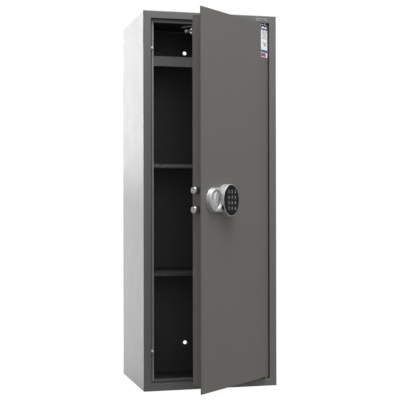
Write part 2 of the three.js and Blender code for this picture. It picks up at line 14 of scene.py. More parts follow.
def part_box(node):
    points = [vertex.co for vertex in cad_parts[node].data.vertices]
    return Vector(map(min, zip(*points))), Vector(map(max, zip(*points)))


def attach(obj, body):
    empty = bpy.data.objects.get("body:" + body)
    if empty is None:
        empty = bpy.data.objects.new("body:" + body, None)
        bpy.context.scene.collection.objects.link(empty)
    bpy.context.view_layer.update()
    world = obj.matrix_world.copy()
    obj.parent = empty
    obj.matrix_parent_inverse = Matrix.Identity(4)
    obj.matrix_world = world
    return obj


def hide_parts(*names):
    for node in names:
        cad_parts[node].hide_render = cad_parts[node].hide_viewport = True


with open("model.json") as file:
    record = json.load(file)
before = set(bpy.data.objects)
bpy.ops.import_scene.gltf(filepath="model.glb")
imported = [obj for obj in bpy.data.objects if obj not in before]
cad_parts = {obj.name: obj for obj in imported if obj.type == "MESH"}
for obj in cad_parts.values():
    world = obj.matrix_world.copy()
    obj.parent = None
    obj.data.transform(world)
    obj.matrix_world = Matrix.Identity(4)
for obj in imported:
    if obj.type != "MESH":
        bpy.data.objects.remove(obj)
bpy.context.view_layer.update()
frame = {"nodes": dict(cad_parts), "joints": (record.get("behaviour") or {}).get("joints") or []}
NODES = frame["nodes"]
MM = 0.001


# ---- Axes taken from the frame --------------------------------------------------------------


def joint(name):
    return next(j for j in frame["joints"] if j["name"] == name)


def lock_axes():
    """x towards the hinges, y up, z out of the door's face; the origin is behind the knob's centre."""
    knob = joint("knob_turn")
    out = Vector(knob["axis"]).normalized()
    up = Vector((0, 0, 1))
    rows = Matrix((up.cross(out), up, out)).transposed()
    return Matrix.Translation(knob["pos_m"]) @ rows.to_4x4()


def door_axes():
    """Carries a point given on the closed door to where it is at rest."""
    hinge = joint("door_hinge")
    pivot = Vector(hinge["pos_m"])
    angle = math.radians(-hinge["range_deg"][0])
    return Matrix.Translation(pivot) @ Matrix.Rotation(angle, 4, "Z") @ Matrix.Translation(-pivot)


def box_in(axes, node):
    """Lowest and highest corner of a CAD node, measured in the given axes."""
    inverse = axes.inverted()
    points = [inverse @ v.co for v in NODES[node].data.vertices]
    low = Vector([min(p[i] for p in points) for i in range(3)])
    high = Vector([max(p[i] for p in points) for i in range(3)])
    return low, high


LOCK = lock_axes()
DOOR = door_axes()


# ---- Node helpers and materials -------------------------------------------------------------


class Nodes:
    """A material's node tree with short calls for what the finishes below share."""

    def __init__(self, name):
        self.material = bpy.data.materials.new(name)
        self.material.use_nodes = True
        self.tree = self.material.node_tree
        self.shader = self.tree.nodes["Principled BSDF"]
        self.place = self.add("ShaderNodeTexCoord").outputs["Object"]

    def add(self, kind, **settings):
        node = self.tree.nodes.new(kind)
        for key, value in settings.items():
            setattr(node, key, value)
        return node

    def link(self, source, target):
        self.tree.links.new(source, target)

    def set(self, **values):
        for key, value in values.items():
            self.shader.inputs[key.replace("_", " ")].default_value = value

    def noise(self, scale, detail=2.0, roughness=0.5, stretch=None):
        node = self.add("ShaderNodeTexNoise")
        node.inputs["Scale"].default_value = scale
        node.inputs["Detail"].default_value = detail
        node.inputs["Roughness"].default_value = roughness
        source = self.place
        if stretch:
            mapping = self.add("ShaderNodeMapping")
            mapping.inputs["Scale"].default_value = stretch
            self.link(source, mapping.inputs["Vector"])
            source = mapping.outputs["Vector"]
        self.link(source, node.inputs["Vector"])
        return node.outputs["Fac"]

    def ramp(self, fac, stops):
        node = self.add("ShaderNodeValToRGB")
        elements = node.color_ramp.elements
        while len(elements) < len(stops):
            elements.new(0.5)
        for element, (position, colour) in zip(elements, stops):
            element.position = position
            element.color = (*colour, 1.0)
        self.link(fac, node.inputs["Fac"])
        return node.outputs["Color"]

    def span(self, fac, low, high):
        node = self.add("ShaderNodeMapRange")
        node.inputs["From Min"].default_value = 0.3
        node.inputs["From Max"].default_value = 0.7
        node.inputs["To Min"].default_value = low
        node.inputs["To Max"].default_value = high
        self.link(fac, node.inputs["Value"])
        return node.outputs["Result"]

    def bump(self, height, strength, distance):
        node = self.add("ShaderNodeBump")
        node.inputs["Strength"].default_value = strength
        node.inputs["Distance"].default_value = distance
        self.link(height, node.inputs["Height"])
        return node.outputs["Normal"]


def tint(colour, factor):
    return tuple(min(1.0, c * factor) for c in colour)


def powder_coat(name, colour):
    """Satin powder coat: a fine orange peel and a broad faint mottle."""
    n = Nodes(name)
    n.link(n.ramp(n.noise(5.0, 2.0), [(0.3, tint(colour, 0.98)), (0.7, tint(colour, 1.02))]),
           n.shader.inputs["Base Color"])
    n.link(n.span(n.noise(14.0, 2.0), 0.41, 0.44), n.shader.inputs["Roughness"])
    n.link(n.bump(n.noise(420.0, 2.0), 0.05, 0.12 * MM), n.shader.inputs["Normal"])
    n.set(IOR=1.5)
    return n.material


def satin_metal(name, colour, rough, grain=None, bump=0.05):
    """Plated or turned metal: cloudy gloss, and a fine grain that can be stretched one way."""
    n = Nodes(name)
    cloud = n.noise(26.0, 4.0, 0.6)
    n.link(n.ramp(cloud, [(0.3, tint(colour, 0.9)), (0.7, tint(colour, 1.08))]),
           n.shader.inputs["Base Color"])
    n.link(n.span(n.noise(160.0, 3.0, 0.6, grain), *rough), n.shader.inputs["Roughness"])
    n.link(n.bump(n.noise(900.0, 2.0, 0.6, grain), bump, 0.1 * MM), n.shader.inputs["Normal"])
    n.set(Metallic=1.0)
    return n.material


def moulded(name, colour, rough, grain=700.0, bump=0.12, specular=0.5):
    """Moulded plastic or rubber with a fine spark-eroded grain."""
    n = Nodes(name)
    n.link(n.ramp(n.noise(40.0, 3.0), [(0.3, tint(colour, 0.85)), (0.7, tint(colour, 1.2))]),
           n.shader.inputs["Base Color"])
    n.link(n.span(n.noise(90.0, 3.0), *rough), n.shader.inputs["Roughness"])
    n.link(n.bump(n.noise(grain, 2.0), bump, 0.06 * MM), n.shader.inputs["Normal"])
    n.set(Specular_IOR_Level=specular)
    return n.material


def printed(name, colour, rough=(0.35, 0.5)):
    """A flat printed or paper surface with a faint tooth."""
    n = Nodes(name)
    n.link(n.ramp(n.noise(120.0, 2.0), [(0.3, tint(colour, 0.96)), (0.7, tint(colour, 1.03))]),
           n.shader.inputs["Base Color"])
    n.link(n.span(n.noise(300.0, 2.0), *rough), n.shader.inputs["Roughness"])
    n.link(n.bump(n.noise(1200.0, 1.0), 0.05, 0.05 * MM), n.shader.inputs["Normal"])
    return n.material


def circuit_board(name):
    """Green solder mask with the pale lines of the tracks under it."""
    n = Nodes(name)
    wave = n.add("ShaderNodeTexWave", wave_type="BANDS", bands_direction="Z")
    wave.inputs["Scale"].default_value = 90.0
    wave.inputs["Distortion"].default_value = 3.0
    n.link(n.place, wave.inputs["Vector"])
    n.link(n.ramp(wave.outputs["Fac"], [(0.72, (0.01, 0.07, 0.03)), (0.8, (0.03, 0.16, 0.07))]),
           n.shader.inputs["Base Color"])
    n.set(Roughness=0.35)
    return n.material


GREY = (0.124, 0.1225, 0.1225)
DOOR_GREY = (0.124, 0.1185, 0.109)
SHELF_GREY = (0.105, 0.108, 0.110)
M = {
    "paint": powder_coat("powder_coat_grey", GREY),
    "door_paint": powder_coat("powder_coat_door", DOOR_GREY),
    # the stop flange's grey is lifted to 1.9 times: a painted highlight on that strip, which is the same
    # paint as the frame
    "stop_painted_highlight": powder_coat("powder_coat_stop_painted_highlight", tint(GREY, 1.9)),
    "shelf_paint": powder_coat("powder_coat_shelf", SHELF_GREY),
    # half the shelf grey: painted shade for the lower shelf, which is the same paint as the others
    "shaded_paint": powder_coat("powder_coat_shelf_painted_shade", tint(SHELF_GREY, 0.5)),
    "cast": satin_metal("satin_chrome_casting", (0.57, 0.57, 0.56), (0.56, 0.62)),
    "knob": satin_metal("satin_chrome_knob", (0.60, 0.60, 0.62), (0.46, 0.52)),
    "dark": satin_metal("blackened_steel", (0.16, 0.16, 0.165), (0.34, 0.46)),
    "bright": satin_metal("turned_bright_steel", (0.60, 0.60, 0.585), (0.24, 0.36), (1, 1, 30)),
    "zinc": satin_metal("zinc_plated_steel", (0.45, 0.45, 0.43), (0.35, 0.5), None, 0.15),
    "brass": satin_metal("dulled_brass_washer", (0.22, 0.17, 0.10), (0.4, 0.5)),
    "black": moulded("black_abs", (0.012, 0.012, 0.013), (0.28, 0.4)),
    "face": moulded("keypad_black", (0.0085, 0.0085, 0.0095), (0.42, 0.52), 500.0, 0.05, 0.12),
    "key": moulded("key_rubber", (0.040, 0.040, 0.044), (0.45, 0.55), 600.0, 0.1, 0.2),
    "print": printed("pale_print", (0.34, 0.35, 0.36)),
    "board": circuit_board("circuit_board"),
    "buffer": moulded("pale_rubber", (0.80, 0.80, 0.79), (0.5, 0.62)),
    "paper": printed("label_paper", (0.80, 0.81, 0.82)),
    "ink_dark": printed("label_ink_dark", (0.035, 0.036, 0.06)),
    "ink_blue": printed("label_ink_blue", (0.08, 0.13, 0.30)),
    "ink_red": printed("label_ink_red", (0.42, 0.07, 0.08)),
    "ink_grey": printed("label_ink_grey", (0.32, 0.33, 0.34)),
}


# ---- Mesh helpers ---------------------------------------------------------------------------


def arc(centre, radius, start, end, steps):
    """Points on a round stretch, angles in degrees."""
    points = []
    for i in range(steps + 1):
        a = math.radians(start + (end - start) * i / steps)
        points.append((centre[0] + radius * math.cos(a), centre[1] + radius * math.sin(a)))
    return points


def circle(radius, steps=96, at=(0.0, 0.0)):
    def outline(inset):
        r = radius - inset
        return [(at[0] + r * math.cos(2 * math.pi * i / steps), at[1] + r * math.sin(2 * math.pi * i / steps))
                for i in range(steps)]
    return outline


def ellipse(rx, ry, at=(0.0, 0.0), steps=120):
    def outline(inset):
        return [(at[0] + (rx - inset) * math.cos(2 * math.pi * i / steps),
                 at[1] + (ry - inset) * math.sin(2 * math.pi * i / steps)) for i in range(steps)]
    return outline


def rounded_box(width, height, radius, at=(0.0, 0.0), steps=6):
    """A rectangle with round corners; the corners keep their centres as the outline shrinks."""
    def outline(inset):
        x, y = width / 2 - radius, height / 2 - radius
        r = max(radius - inset, 0.02 * MM)
        shift = min(0.0, radius - inset)
        corners = [((x + shift, y + shift), 0), ((-x - shift, y + shift), 90),
                   ((-x - shift, -y - shift), 180), ((x + shift, -y - shift), 270)]
        points = []
        for (cx, cy), turn in corners:
            points += arc((at[0] + cx, at[1] + cy), r, turn, turn + 90, steps)
        return points
    return outline


def stadium(radius, length, steps=40):
    """Two half circles and the straight sides between them, from x = 0 to x = length."""
    def outline(inset):
        r = radius - inset
        return arc((length, 0), r, -90, 90, steps) + arc((0, 0), r, 90, 270, steps)
    return outline


def fillet(inset, height, radius, steps=6):
    """The rim of a profile: from the wall at inset, round to the top at height."""
    points = []
    for i in range(steps + 1):
        a = math.pi / 2 * i / steps
        points.append((inset + radius * (1 - math.cos(a)), height - radius * (1 - math.sin(a))))
    return points


def rings(outline, profile, closed=False):
    """A solid of level outlines stepped through a profile of (inset, height)."""
    bm = bmesh.new()
    loops = [[bm.verts.new((x, y, z)) for x, y in outline(inset)] for inset, z in profile]
    pairs = list(zip(loops, loops[1:]))
    if closed:
        pairs.append((loops[-1], loops[0]))
    for low, high in pairs:
        count = len(low)
        for i in range(count):
            j = (i + 1) % count
            bm.faces.new((low[i], low[j], high[j], high[i]))
    if not closed:
        bm.faces.new(list(reversed(loops[0])))
        bm.faces.new(loops[-1])
    bmesh.ops.remove_doubles(bm, verts=bm.verts, dist=0.001 * MM)
    bmesh.ops.recalc_face_normals(bm, faces=bm.faces)
    return bm


def lathe(profile, steps=64):
    """A turned solid about z, from (radius, height) points that start and end on the axis."""
    bm = bmesh.new()
    loops = []
    for r, z in profile:
        if r < 1e-7:
            loops.append([bm.verts.new((0, 0, z))])
            continue
        turns = [2 * math.pi * i / steps for i in range(steps)]
        loops.append([bm.verts.new((r * math.cos(a), r * math.sin(a), z)) for a in turns])
    for low, high in zip(loops, loops[1:]):
        for i in range(steps):
            j = (i + 1) % steps
            corners = [low[i % len(low)], low[j % len(low)], high[j % len(high)], high[i % len(high)]]
            unique = list(dict.fromkeys(corners))
            if len(unique) > 2:
                bm.faces.new(unique)
    bmesh.ops.recalc_face_normals(bm, faces=bm.faces)
    return bm


def soft_block(size, at, radius=0.5 * MM, segments=3):
    """A block with rounded edges, about its centre."""
    bm = bmesh.new()
    bmesh.ops.create_cube(bm, size=1.0)
    bmesh.ops.scale(bm, vec=size, verts=bm.verts)
    bmesh.ops.bevel(bm, geom=list(bm.edges), offset=radius, segments=segments, profile=0.5, affect="EDGES")
    bmesh.ops.translate(bm, vec=at, verts=bm.verts)
    return bm


def joined(*parts):
    """One bmesh of several, each given as (bmesh, material index)."""
    whole = bmesh.new()
    for part, index in parts:
        for face in part.faces:
            face.material_index = index
        mesh = bpy.data.meshes.new("part")
        part.to_mesh(mesh)
        part.free()
        whole.from_mesh(mesh)
        bpy.data.meshes.remove(mesh)
    return whole


def as_object(name, bm):
    mesh = bpy.data.meshes.new(name)
    bm.to_mesh(mesh)
    bm.free()
    obj = bpy.data.objects.new(name, mesh)
    bpy.context.scene.collection.objects.link(obj)
    return obj


def boolean(first, second, operation):
    """first joined with or cut by second, as a new bmesh; both are bmeshes and are used up."""
    a, b = as_object("bool_a", first), as_object("bool_b", second)
    modifier = a.modifiers.new("bool", "BOOLEAN")
    modifier.operation = operation
    modifier.solver = "EXACT"
    modifier.object = b
    result = bmesh.new()
    result.from_object(a, bpy.context.evaluated_depsgraph_get())
    for obj in (a, b):
        bpy.data.objects.remove(obj)
    return result


def weigh_normals(obj):
    """Lets big flat faces keep their own normal beside small bends."""
    modifier = obj.modifiers.new("weigh", "WEIGHTED_NORMAL")
    modifier.mode = "FACE_AREA"
    modifier.keep_sharp = True


def piece(name, bm, body, materials, axes=None, stands_for=(), smooth=32):
    """Puts a finished bmesh into the scene as a piece of the safe."""
    if axes is not None:
        bm.transform(axes)
    obj = as_object(name, bm)
    for material in materials:
        obj.data.materials.append(M[material])
    obj.data.polygons.foreach_set("use_smooth", [True] * len(obj.data.polygons))
    obj.data.set_sharp_from_angle(angle=math.radians(smooth))
    weigh_normals(obj)
    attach(obj, body)
    if stands_for:
        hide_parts(*stands_for)


# ---- CAD nodes that stay: edges eased, bends smooth, new finish ------------------------------


def smooth_group():
    """Geometry nodes that shade every bend smooth and keep edges over 32 degrees crisp."""
    tree = bpy.data.node_groups.new("smooth_bends", "GeometryNodeTree")
    tree.interface.new_socket("Geometry", in_out="INPUT", socket_type="NodeSocketGeometry")
    tree.interface.new_socket("Geometry", in_out="OUTPUT", socket_type="NodeSocketGeometry")
    start, end = tree.nodes.new("NodeGroupInput"), tree.nodes.new("NodeGroupOutput")
    faces = tree.nodes.new("GeometryNodeSetShadeSmooth")
    edges = tree.nodes.new("GeometryNodeSetShadeSmooth")
    edges.domain = "EDGE"
    edges.inputs["Shade Smooth"].default_value = False
    angle = tree.nodes.new("GeometryNodeInputMeshEdgeAngle")
    sharp = tree.nodes.new("FunctionNodeCompare")
    sharp.operation = "GREATER_THAN"
    sharp.inputs[1].default_value = math.radians(32)
    tree.links.new(angle.outputs["Unsigned Angle"], sharp.inputs[0])
    tree.links.new(start.outputs[0], faces.inputs["Geometry"])
    tree.links.new(faces.outputs[0], edges.inputs["Geometry"])
    tree.links.new(sharp.outputs[0], edges.inputs["Selection"])
    tree.links.new(edges.outputs[0], end.inputs[0])
    return tree


SMOOTH = smooth_group()


def refine(node, material, ease):
    """Eases a CAD node's edges with modifiers and gives it its finish."""
    obj = NODES[node]
    for slot in obj.material_slots:
        slot.material = M[material]
    weld = obj.modifiers.new("weld", "WELD")
    weld.merge_threshold = 0.002 * MM
    flat = obj.modifiers.new("flat", "DECIMATE")
    flat.decimate_type = "DISSOLVE"
    flat.angle_limit = math.radians(0.5)
    bevel = obj.modifiers.new("ease", "BEVEL")
    bevel.width = ease
    bevel.segments = 2
    bevel.limit_method = "ANGLE"
    bevel.angle_limit = math.radians(40)
    bends = obj.modifiers.new("smooth", "NODES")
    bends.node_group = SMOOTH
    weigh_normals(obj)


def refine_all():
    refine("back_panel", "paint", 0.4 * MM)
    for node in ("door_plate", "door_pan", "door_back_cover"):
        refine(node, "door_paint", 0.5 * MM)
    for node in NODES:
        if node.startswith("shelf"):
            # the lower shelf takes the half-dark grey, painted shade; the other shelves keep the shelf grey
            refine(node, "shelf_paint" if node != "shelf_lower" else "shaded_paint", 0.35 * MM)
    for node in ("hinge_block_bottom", "hinge_block_top", "bolt_cam",
                 "bolt_carriage", "bolt_guide", "solenoid_body"):
        refine(node, "zinc", 0.4 * MM)
    for node in ("hinge_pin_bottom", "hinge_pin_top", "solenoid_plunger", "lock_spindle"):
        refine(node, "bright", 0.3 * MM)
    refine("hook_bracket", "dark", 0.4 * MM)
    refine("thrust_washer", "brass", 0.25 * MM)
    refine("battery_tray", "black", 0.4 * MM)
    refine("keypad_board", "board", 0.15 * MM)


# ---- Shell ----------------------------------------------------------------------------------

WALLS = ("left_side_panel", "right_side_panel", "top_panel", "bottom_panel")


def frame_shell():
    """The four folded walls as one welded and ground shell, with no seam at the corners."""
    low, high = cad_low_high(WALLS)
    width, depth, height = high - low
    sheet, fold, lip, burr = 3 * MM, 3 * MM, 1.2 * MM, 0.6 * MM
    face, rebate, stop, hem, hem_start = 25 * MM, 17 * MM, 12 * MM, 4 * MM, 6.2 * MM
    pin_hole = 3.8 * MM
    section = [(0, depth - burr), (0, fold + 4 * MM)]
    section += arc((fold, fold), fold, 180, 270, 8)
    section += arc((face - lip, lip), lip, -90, 0, 5)
    section += [(face, rebate - 1 * MM), *arc((face + 1 * MM, rebate - 1 * MM), 1 * MM, 180, 90, 4)]
    section += [(face + hem_start, rebate), (face + hem_start + 0.2 * MM, rebate - hem)]
    section += arc((face + stop - 0.8 * MM, rebate - hem + 0.8 * MM), 0.8 * MM, -90, 0, 3)
    section += arc((face + stop - 0.5 * MM, rebate + sheet - 0.5 * MM), 0.5 * MM, 0, 90, 3)
    section += [(face - sheet, rebate + sheet), (face - sheet, sheet), (sheet, sheet)]
    section += [(sheet, depth - burr), (sheet - burr, depth), (burr, depth)]
    shell = rings(rounded_box(width, height, 2 * MM, steps=4), [(s, -d) for s, d in section], closed=True)
    for vert in shell.verts:
        # the hem runs out towards the hinge side, where the door plate swings through
        if 0 < vert.co.x < width / 2 - face - 5 * MM and -rebate < vert.co.z < -rebate + hem + 0.1 * MM:
            vert.co.z = -rebate
    for node in ("hinge_pin_bottom", "hinge_pin_top"):
        pin_low, pin_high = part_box(node)
        middle = (pin_low + pin_high) / 2
        at = (middle.x - (low.x + high.x) / 2, low.y - middle.y, middle.z - (low.z + high.z) / 2)
        hole = rings(circle(pin_hole, 32), [(0, -20 * MM), (0, 20 * MM)])
        hole.transform(Matrix.Translation((at[0], at[2], at[1])) @ Matrix.Rotation(math.radians(90), 4, "X"))
        shell = boolean(shell, hole, "DIFFERENCE")
    # the front strip of the lock-side stop flange takes the lighter grey, a painted highlight; the rest of
    # the shell keeps the frame grey
    for polygon in shell.faces:
        middle = polygon.calc_center_median()
        in_front = abs(middle.z + rebate - hem) < 0.7 * MM
        hem_painted_highlight = in_front and face + 6 * MM < middle.x + width / 2 < face + stop
        polygon.material_index = 1 if hem_painted_highlight else 0
    place = Matrix.Translation(((low.x + high.x) / 2, low.y, (low.z + high.z) / 2))
    piece("frame_shell", shell, "cabinet", ["paint", "stop_painted_highlight"],
          place @ Matrix.Rotation(math.radians(90), 4, "X"), WALLS)


def cad_low_high(nodes):
    boxes = [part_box(node) for node in nodes]
    low = Vector([min(b[0][i] for b in boxes) for i in range(3)])
    high = Vector([max(b[1][i] for b in boxes) for i in range(3)])
    return low, high


# ---- Lock -----------------------------------------------------------------------------------

HOUSING = box_in(LOCK, "lock_housing")
FACE = box_in(LOCK, "keypad_face")
KNOB = box_in(LOCK, "turn_knob")

KEYPAD_X = (FACE[0].x + FACE[1].x) / 2
KEYPAD_RX = HOUSING[1].x - KEYPAD_X
KEYPAD_RY = HOUSING[1].y
KEYPAD_TOP = HOUSING[1].z
DRAFT = 2.5 * MM
BARREL_R = -HOUSING[0].x - DRAFT
BARREL_TOP = 15 * MM
BASE = HOUSING[0].z
KNOB_R = -KNOB[0].x
POCKET_R = KNOB_R + 0.7 * MM
KNOB_FLOOR = KNOB[0].z - 0.5 * MM
BEZEL = 2.4 * MM
KEYPAD_FLOOR = box_in(LOCK, "keypad_board")[0].z - 0.3 * MM


def keypad_outline(inset=0.0):
    return ellipse(KEYPAD_RX - inset, KEYPAD_RY - inset, (KEYPAD_X, 0.0))


def lock_housing():
    rim, bezel_rim, flare, bore_r = 3.6 * MM, 1.5 * MM, 2.4 * MM, 5 * MM
    slab = rings(stadium(BARREL_R, KEYPAD_X), [(-DRAFT, BASE), *fillet(0, BARREL_TOP, rim, 8)])
    body = rings(keypad_outline(), [(0, BASE), *fillet(0.3 * MM, KEYPAD_TOP, bezel_rim)])
    whole = boolean(slab, body, "UNION")
    pocket = rings(circle(POCKET_R), [
        (0, KNOB_FLOOR), (0, BARREL_TOP - flare),
        *[(-flare * (1 - math.cos(a)), BARREL_TOP - flare + flare * math.sin(a))
          for a in (math.pi / 2 * i / 6 for i in range(1, 7))],
        (-flare, BARREL_TOP + 0.2 * MM),
    ])
    whole = boolean(whole, pocket, "DIFFERENCE")
    well = rings(keypad_outline(), [(BEZEL, KEYPAD_FLOOR), (BEZEL, KEYPAD_TOP + 1 * MM)])
    whole = boolean(whole, well, "DIFFERENCE")
    bore = rings(circle(bore_r, 40), [(0, BASE - 1 * MM), (0, KNOB_FLOOR + 1 * MM)])
    whole = boolean(whole, bore, "DIFFERENCE")
    cable = rings(circle(bore_r, 40, (KEYPAD_X, 0)), [(0, BASE - 1 * MM), (0, KEYPAD_FLOOR + 1 * MM)])
    whole = boolean(whole, cable, "DIFFERENCE")
    whole = boolean(whole, port_tool(0.3 * MM, 6 * MM, 4 * MM), "DIFFERENCE")
    piece("lock_casing", whole, "door", ["cast"], LOCK, ["lock_housing"])


def port_direction():
    """The way the port's cover pulls out, in the lock's axes."""
    return LOCK.inverted().to_3x3() @ Vector(joint("port_cover_pull")["axis"])


def port_tool(margin, depth_in, depth_out):
    """A block in the lock's axes that fits the port, larger than the cover by a margin."""
    out = port_direction()
    angle = math.atan2(out.y, out.x)
    y, cover_width = -24 * MM, 15.4 * MM
    x = KEYPAD_X - KEYPAD_RX * math.sqrt(1 - (y / KEYPAD_RY) ** 2)
    low, high = box_in(LOCK, "port_cover")
    width = cover_width + 2 * margin
    height = high.z - low.z + 2 * margin
    size = (depth_in + depth_out, width, height)
    block = soft_block(size, ((depth_out - depth_in) / 2, 0, (low.z + high.z) / 2), 0.6 * MM)
    bmesh.ops.rotate(block, cent=(0, 0, 0), matrix=Matrix.Rotation(angle, 3, "Z"), verts=block.verts)
    bmesh.ops.translate(block, vec=(x, y, 0), verts=block.verts)
    return block


def port_cover():
    piece("port_plug", port_tool(0.0, 5.7 * MM, 1.2 * MM), "port_cover", ["black"], LOCK,
          ["port_cover"])


def key_nodes():
    return sorted(n for n in NODES if n.startswith("key_"))


def keypad_face():
    low, high = FACE
    rx, ry = (high.x - low.x) / 2, (high.y - low.y) / 2
    crown = 0.7 * MM
    top = high.z - crown
    dome = [(inset * rx, top + crown * (1 - (1 - inset) ** 6) ** 0.5)
            for inset in (0.06, 0.16, 0.3, 0.5, 0.7)]
    plate = rings(ellipse(rx, ry, (KEYPAD_X, 0)), [(0, low.z), *fillet(0, top, 0.6 * MM, 4), *dome])
    windows = []
    for node in key_nodes():
        key_low, key_high = box_in(LOCK, node)
        at = ((key_low.x + key_high.x) / 2, (key_low.y + key_high.y) / 2)
        size = (key_high.x - key_low.x + 0.8 * MM, key_high.y - key_low.y + 0.8 * MM)
        window = rings(rounded_box(*size, 2.4 * MM, at), [(0, low.z - 1 * MM), (0, high.z + 2 * MM)])
        windows.append((window, 0))
    cut = boolean(plate, joined(*windows), "DIFFERENCE")
    piece("keypad_panel", cut, "door", ["face"], LOCK, ["keypad_face"])


def digit(text, size, at, top):
    """A printed character as a thin raised mesh."""
    curve = bpy.data.curves.new("digit", "FONT")
    curve.body = text
    curve.size = size
    curve.extrude = 0.06 * MM
    curve.offset = 0.16 * MM
    curve.resolution_u = 4
    curve.align_x = "CENTER"
    curve.align_y = "CENTER"
    holder = bpy.data.objects.new("digit", curve)
    bpy.context.scene.collection.objects.link(holder)
    bpy.context.view_layer.update()
    mesh = bpy.data.meshes.new_from_object(holder.evaluated_get(bpy.context.evaluated_depsgraph_get()))
    bpy.data.objects.remove(holder)
    bm = bmesh.new()
    bm.from_mesh(mesh)
    bpy.data.meshes.remove(mesh)
    bmesh.ops.remove_doubles(bm, verts=bm.verts, dist=0.002 * MM)
    bmesh.ops.translate(bm, vec=(at[0], at[1], top), verts=bm.verts)
    return bm


def keys():
    for text, node in zip("123456789*0#", key_nodes()):
        low, high = box_in(LOCK, node)
        at = ((low.x + high.x) / 2, (low.y + high.y) / 2)
        width, height = high.x - low.x, high.y - low.y
        rim, crown = 0.9 * MM, 0.35 * MM
        top = high.z - crown
        dome = [(rim + 1 * MM, top + 0.6 * crown), (rim + 2.4 * MM, top + crown)]
        cap = rings(rounded_box(width, height, 2.2 * MM, at), [(0, low.z), *fillet(0, top, rim, 5), *dome])
        mark = digit(text, 9.6 * MM, at, high.z)
        piece(node + "_cap", joined((cap, 0), (mark, 1)), node, ["key", "print"], LOCK, [node])


def knob_height(x, y, rim_r):
    """The front of the turning knob: a rolled rim, a dished floor, and a lens-shaped thumb ridge."""
    r = math.hypot(x, y)
    floor, rim_top, ridge_top = KNOB[0].z + 3.4 * MM, BARREL_TOP - 2.2 * MM, KNOB[1].z
    rim_width = 2.6 * MM
    across = (r - (rim_r - rim_width)) / rim_width
    if across > 0:
        rim = floor + (rim_top - floor) * math.sin(math.pi * min(across, 1.0) * 0.62) ** 0.7
    else:
        rim = floor + 0.8 * MM * (r / rim_r) ** 2
    half_length, half_width = rim_r - 1.0 * MM, 9.5 * MM
    along = min(abs(y) / half_length, 1.0)
    lens = max(half_width * (1.0 - along ** 2), 0.05 * MM)
    shape = 1.0 / (1.0 + (abs(x) / lens) ** 9)
    crown = 1.0 - 0.12 * min(abs(x) / lens, 1.0) ** 2
    ridge = floor + (ridge_top - floor) * shape * crown
    return max(rim, ridge)


def turn_knob():
    radial, around = 44, 144
    rim_r = KNOB_R
    bm = bmesh.new()
    centre = bm.verts.new((0, 0, knob_height(0, 0, rim_r)))
    loops = []
    for k in range(1, radial + 1):
        r = rim_r * k / radial
        loop = []
        for i in range(around):
            a = 2 * math.pi * i / around
            x, y = r * math.cos(a), r * math.sin(a)
            loop.append(bm.verts.new((x, y, knob_height(x, y, rim_r))))
        loops.append(loop)
    back = [bm.verts.new((v.co.x, v.co.y, KNOB[0].z)) for v in loops[-1]]
    for i in range(around):
        j = (i + 1) % around
        bm.faces.new((centre, loops[0][i], loops[0][j]))
        for inner, outer in zip(loops, loops[1:]):
            bm.faces.new((inner[i], outer[i], outer[j], inner[j]))
        bm.faces.new((loops[-1][i], back[i], back[j], loops[-1][j]))
    bm.faces.new(back)
    bmesh.ops.recalc_face_normals(bm, faces=bm.faces)
    piece("knob_turning", bm, "knob", ["knob"], LOCK, ["turn_knob"], 50)


# ---- Bolts, hook, screws and buffers --------------------------------------------------------

INTO_DOOR = Matrix.Rotation(math.radians(-90), 4, "X")      # local z to +y of the closed door


def bolts():
    for name in ("bolt_upper", "bolt_lower"):
        low, high = box_in(DOOR, name)
        radius = (high.z - low.z) / 2
        length = high.x - low.x
        chamfer, centre_drill = 1.5 * MM, 2.0 * MM
        profile = [(0, centre_drill), (centre_drill, 0.1 * MM), (centre_drill + 0.3 * MM, 0)]
        profile += [(radius - chamfer, 0), (radius - 0.25 * MM, chamfer - 0.25 * MM)]
        profile += [(radius, chamfer + 0.4 * MM)]
        profile += [(radius, length - 0.5 * MM), (radius - 0.5 * MM, length), (0, length)]
        bm = lathe(profile, 96)
        place = Matrix.Translation((low.x, (low.y + high.y) / 2, (low.z + high.z) / 2))
        place = place @ Matrix.Rotation(math.radians(90), 4, "Y")
        piece(name + "_turned", bm, "bolts", ["bright"], DOOR @ place, [name])


def pan_screw(radius, height, shank_r, shank):
    """A cross-recessed pan head on its shank; the head's underside is at z = 0."""
    dome = [(radius * math.cos(a), height * math.sin(a) ** 0.7) for a in
            (math.pi / 2 * i / 8 for i in range(0, 9))]
    profile = [(0, -shank), (shank_r, -shank), (shank_r, 0), (radius - 0.1 * MM, 0), *dome[:-1], (0, height)]
    head = lathe(profile, 48)
    for turn in (0, 90):
        slot = soft_block((radius * 1.1, 0.22 * radius, height), (0, 0, height), 0.05 * radius, 1)
        about = Matrix.Rotation(math.radians(turn), 3, "Z")
        bmesh.ops.rotate(slot, cent=(0, 0, 0), matrix=about, verts=slot.verts)
        head = boolean(head, slot, "DIFFERENCE")
    return head


def cover_screws():
    for node in sorted(n for n in NODES if n.startswith("cover_screw")):
        low, high = box_in(DOOR, node)
        radius = (high.z - low.z) / 2
        head = 2.4 * MM
        screw = pan_screw(radius, head, radius / 2, high.y - head - low.y)
        at = Vector(((low.x + high.x) / 2, high.y - head, (low.z + high.z) / 2))
        piece(node + "_head", screw, "door", ["cast"],
              DOOR @ Matrix.Translation(at) @ INTO_DOOR, [node])


